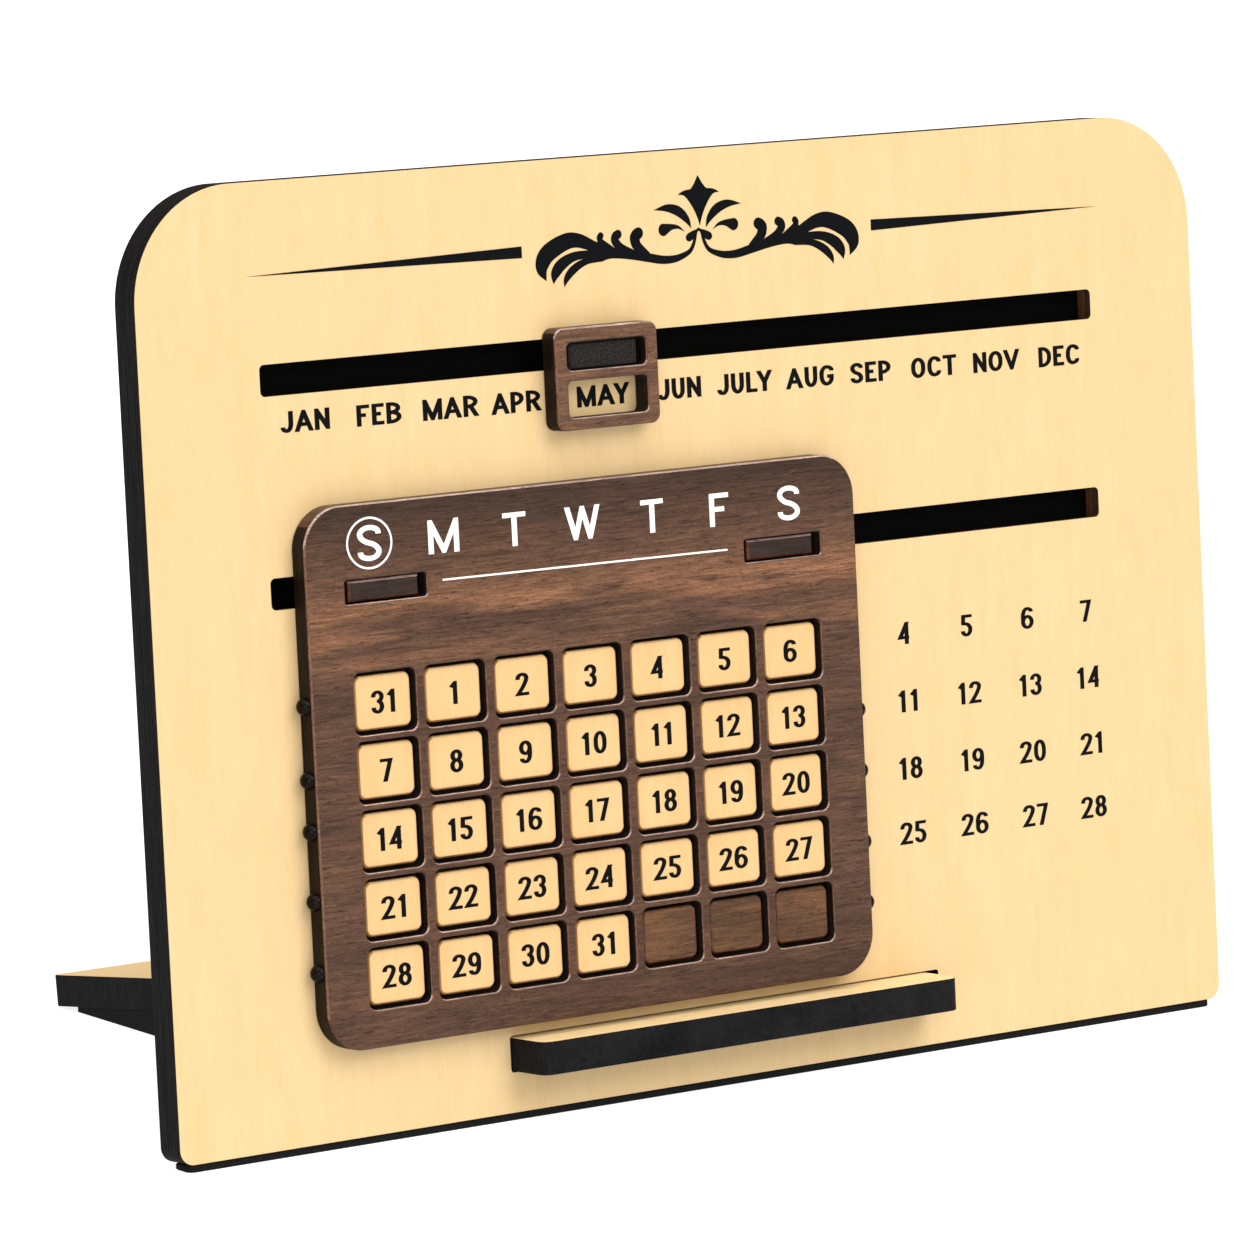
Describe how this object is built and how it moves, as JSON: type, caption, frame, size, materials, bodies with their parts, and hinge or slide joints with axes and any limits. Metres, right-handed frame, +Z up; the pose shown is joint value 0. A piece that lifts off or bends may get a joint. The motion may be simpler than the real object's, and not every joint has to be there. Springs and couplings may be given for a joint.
{
  "type": "perpetual desk calendar",
  "caption": "Leaning wooden calendar board with a sliding month marker, a sliding week frame holding lift-out number tiles, a front ledge and a rear foot.",
  "frame": {"origin": "on the desk, under the middle of the calendar's overall box", "axes": "+X to the right along the board as it is read, +Y towards the back, +Z up; the board's face looks to -Y and leans back 4.7 degrees"},
  "size_m": [0.25, 0.1478, 0.179],
  "materials": {
    "cream_veneer": "pale straight-grained veneer, satin clear coat, black cut edges",
    "black_board": "black-dyed fibreboard, matt",
    "brown_core": "dark brown board core, matt",
    "walnut": "oiled walnut, satin",
    "dark_walnut": "near-black stained walnut, satin",
    "charcoal": "charcoal, fine speckled matt face",
    "maple": "warm maple, satin",
    "black_brass": "blackened brass, polished",
    "black_rubber": "black, matt"
  },
  "bodies": {
    "stand": {"front_panel": "cream_veneer", "channel_core": "brown_core", "back_cover": "black_board", "base_strip": "black_rubber", "ledge_plate": "cream_veneer", "foot_plate": "cream_veneer", "rib_left": "black_board", "rib_right": "black_board"},
    "month_slide": {"month_marker": "walnut", "month_runner": "charcoal"},
    "week_slide": {"week_frame": "walnut", "tile_tray": "walnut", "week_runner_left": "dark_walnut", "week_runner_right": "dark_walnut", "stud_left_1": "black_brass", "stud_left_2": "black_brass", "stud_left_3": "black_brass", "stud_left_4": "black_brass", "stud_left_5": "black_brass", "stud_right_2": "black_brass", "stud_right_3": "black_brass", "stud_right_4": "black_brass", "stud_right_5": "black_brass"},
    "date_tile_1_1": {"date_tile_1_1": "maple"},
    "date_tile_1_2": {"date_tile_1_2": "maple"},
    "date_tile_1_3": {"date_tile_1_3": "maple"},
    "date_tile_1_4": {"date_tile_1_4": "maple"},
    "date_tile_1_5": {"date_tile_1_5": "maple"},
    "date_tile_1_6": {"date_tile_1_6": "maple"},
    "date_tile_1_7": {"date_tile_1_7": "maple"},
    "date_tile_2_1": {"date_tile_2_1": "maple"},
    "date_tile_2_2": {"date_tile_2_2": "maple"},
    "date_tile_2_3": {"date_tile_2_3": "maple"},
    "date_tile_2_4": {"date_tile_2_4": "maple"},
    "date_tile_2_5": {"date_tile_2_5": "maple"},
    "date_tile_2_6": {"date_tile_2_6": "maple"},
    "date_tile_2_7": {"date_tile_2_7": "maple"},
    "date_tile_3_1": {"date_tile_3_1": "maple"},
    "date_tile_3_2": {"date_tile_3_2": "maple"},
    "date_tile_3_3": {"date_tile_3_3": "maple"},
    "date_tile_3_4": {"date_tile_3_4": "maple"},
    "date_tile_3_5": {"date_tile_3_5": "maple"},
    "date_tile_3_6": {"date_tile_3_6": "maple"},
    "date_tile_3_7": {"date_tile_3_7": "maple"},
    "date_tile_4_1": {"date_tile_4_1": "maple"},
    "date_tile_4_2": {"date_tile_4_2": "maple"},
    "date_tile_4_3": {"date_tile_4_3": "maple"},
    "date_tile_4_4": {"date_tile_4_4": "maple"},
    "date_tile_4_5": {"date_tile_4_5": "maple"},
    "date_tile_4_6": {"date_tile_4_6": "maple"},
    "date_tile_4_7": {"date_tile_4_7": "maple"},
    "date_tile_5_1": {"date_tile_5_1": "maple"},
    "date_tile_5_2": {"date_tile_5_2": "maple"},
    "date_tile_5_3": {"date_tile_5_3": "maple"},
    "date_tile_5_4": {"date_tile_5_4": "maple"},
    "blank_tile_5_5": {"blank_tile_5_5": "walnut"},
    "blank_tile_5_6": {"blank_tile_5_6": "walnut"},
    "blank_tile_5_7": {"blank_tile_5_7": "walnut"}
  },
  "joints": [
    {"name": "month_travel", "type": "slide", "parent": "stand", "child": "month_slide", "axis": [1, 0, 0], "range_m": [-0.0675, 0.1137]},
    {"name": "week_travel", "type": "slide", "parent": "stand", "child": "week_slide", "axis": [1, 0, 0], "range_m": [-0.0145, 0.0743]},
    {"name": "lift_date_tile_1_1", "type": "slide", "parent": "week_slide", "child": "date_tile_1_1", "axis": [0, -0.9966, 0.0819], "range_m": [0, 0.01]},
    {"name": "lift_date_tile_1_2", "type": "slide", "parent": "week_slide", "child": "date_tile_1_2", "axis": [0, -0.9966, 0.0819], "range_m": [0, 0.01]},
    {"name": "lift_date_tile_1_3", "type": "slide", "parent": "week_slide", "child": "date_tile_1_3", "axis": [0, -0.9966, 0.0819], "range_m": [0, 0.01]},
    {"name": "lift_date_tile_1_4", "type": "slide", "parent": "week_slide", "child": "date_tile_1_4", "axis": [0, -0.9966, 0.0819], "range_m": [0, 0.01]},
    {"name": "lift_date_tile_1_5", "type": "slide", "parent": "week_slide", "child": "date_tile_1_5", "axis": [0, -0.9966, 0.0819], "range_m": [0, 0.01]},
    {"name": "lift_date_tile_1_6", "type": "slide", "parent": "week_slide", "child": "date_tile_1_6", "axis": [0, -0.9966, 0.0819], "range_m": [0, 0.01]},
    {"name": "lift_date_tile_1_7", "type": "slide", "parent": "week_slide", "child": "date_tile_1_7", "axis": [0, -0.9966, 0.0819], "range_m": [0, 0.01]},
    {"name": "lift_date_tile_2_1", "type": "slide", "parent": "week_slide", "child": "date_tile_2_1", "axis": [0, -0.9966, 0.0819], "range_m": [0, 0.01]},
    {"name": "lift_date_tile_2_2", "type": "slide", "parent": "week_slide", "child": "date_tile_2_2", "axis": [0, -0.9966, 0.0819], "range_m": [0, 0.01]},
    {"name": "lift_date_tile_2_3", "type": "slide", "parent": "week_slide", "child": "date_tile_2_3", "axis": [0, -0.9966, 0.0819], "range_m": [0, 0.01]},
    {"name": "lift_date_tile_2_4", "type": "slide", "parent": "week_slide", "child": "date_tile_2_4", "axis": [0, -0.9966, 0.0819], "range_m": [0, 0.01]},
    {"name": "lift_date_tile_2_5", "type": "slide", "parent": "week_slide", "child": "date_tile_2_5", "axis": [0, -0.9966, 0.0819], "range_m": [0, 0.01]},
    {"name": "lift_date_tile_2_6", "type": "slide", "parent": "week_slide", "child": "date_tile_2_6", "axis": [0, -0.9966, 0.0819], "range_m": [0, 0.01]},
    {"name": "lift_date_tile_2_7", "type": "slide", "parent": "week_slide", "child": "date_tile_2_7", "axis": [0, -0.9966, 0.0819], "range_m": [0, 0.01]},
    {"name": "lift_date_tile_3_1", "type": "slide", "parent": "week_slide", "child": "date_tile_3_1", "axis": [0, -0.9966, 0.0819], "range_m": [0, 0.01]},
    {"name": "lift_date_tile_3_2", "type": "slide", "parent": "week_slide", "child": "date_tile_3_2", "axis": [0, -0.9966, 0.0819], "range_m": [0, 0.01]},
    {"name": "lift_date_tile_3_3", "type": "slide", "parent": "week_slide", "child": "date_tile_3_3", "axis": [0, -0.9966, 0.0819], "range_m": [0, 0.01]},
    {"name": "lift_date_tile_3_4", "type": "slide", "parent": "week_slide", "child": "date_tile_3_4", "axis": [0, -0.9966, 0.0819], "range_m": [0, 0.01]},
    {"name": "lift_date_tile_3_5", "type": "slide", "parent": "week_slide", "child": "date_tile_3_5", "axis": [0, -0.9966, 0.0819], "range_m": [0, 0.01]},
    {"name": "lift_date_tile_3_6", "type": "slide", "parent": "week_slide", "child": "date_tile_3_6", "axis": [0, -0.9966, 0.0819], "range_m": [0, 0.01]},
    {"name": "lift_date_tile_3_7", "type": "slide", "parent": "week_slide", "child": "date_tile_3_7", "axis": [0, -0.9966, 0.0819], "range_m": [0, 0.01]},
    {"name": "lift_date_tile_4_1", "type": "slide", "parent": "week_slide", "child": "date_tile_4_1", "axis": [0, -0.9966, 0.0819], "range_m": [0, 0.01]},
    {"name": "lift_date_tile_4_2", "type": "slide", "parent": "week_slide", "child": "date_tile_4_2", "axis": [0, -0.9966, 0.0819], "range_m": [0, 0.01]},
    {"name": "lift_date_tile_4_3", "type": "slide", "parent": "week_slide", "child": "date_tile_4_3", "axis": [0, -0.9966, 0.0819], "range_m": [0, 0.01]},
    {"name": "lift_date_tile_4_4", "type": "slide", "parent": "week_slide", "child": "date_tile_4_4", "axis": [0, -0.9966, 0.0819], "range_m": [0, 0.01]},
    {"name": "lift_date_tile_4_5", "type": "slide", "parent": "week_slide", "child": "date_tile_4_5", "axis": [0, -0.9966, 0.0819], "range_m": [0, 0.01]},
    {"name": "lift_date_tile_4_6", "type": "slide", "parent": "week_slide", "child": "date_tile_4_6", "axis": [0, -0.9966, 0.0819], "range_m": [0, 0.01]},
    {"name": "lift_date_tile_4_7", "type": "slide", "parent": "week_slide", "child": "date_tile_4_7", "axis": [0, -0.9966, 0.0819], "range_m": [0, 0.01]},
    {"name": "lift_date_tile_5_1", "type": "slide", "parent": "week_slide", "child": "date_tile_5_1", "axis": [0, -0.9966, 0.0819], "range_m": [0, 0.01]},
    {"name": "lift_date_tile_5_2", "type": "slide", "parent": "week_slide", "child": "date_tile_5_2", "axis": [0, -0.9966, 0.0819], "range_m": [0, 0.01]},
    {"name": "lift_date_tile_5_3", "type": "slide", "parent": "week_slide", "child": "date_tile_5_3", "axis": [0, -0.9966, 0.0819], "range_m": [0, 0.01]},
    {"name": "lift_date_tile_5_4", "type": "slide", "parent": "week_slide", "child": "date_tile_5_4", "axis": [0, -0.9966, 0.0819], "range_m": [0, 0.01]},
    {"name": "lift_blank_tile_5_5", "type": "slide", "parent": "week_slide", "child": "blank_tile_5_5", "axis": [0, -0.9966, 0.0819], "range_m": [0, 0.01]},
    {"name": "lift_blank_tile_5_6", "type": "slide", "parent": "week_slide", "child": "blank_tile_5_6", "axis": [0, -0.9966, 0.0819], "range_m": [0, 0.01]},
    {"name": "lift_blank_tile_5_7", "type": "slide", "parent": "week_slide", "child": "blank_tile_5_7", "axis": [0, -0.9966, 0.0819], "range_m": [0, 0.01]}
  ]
}
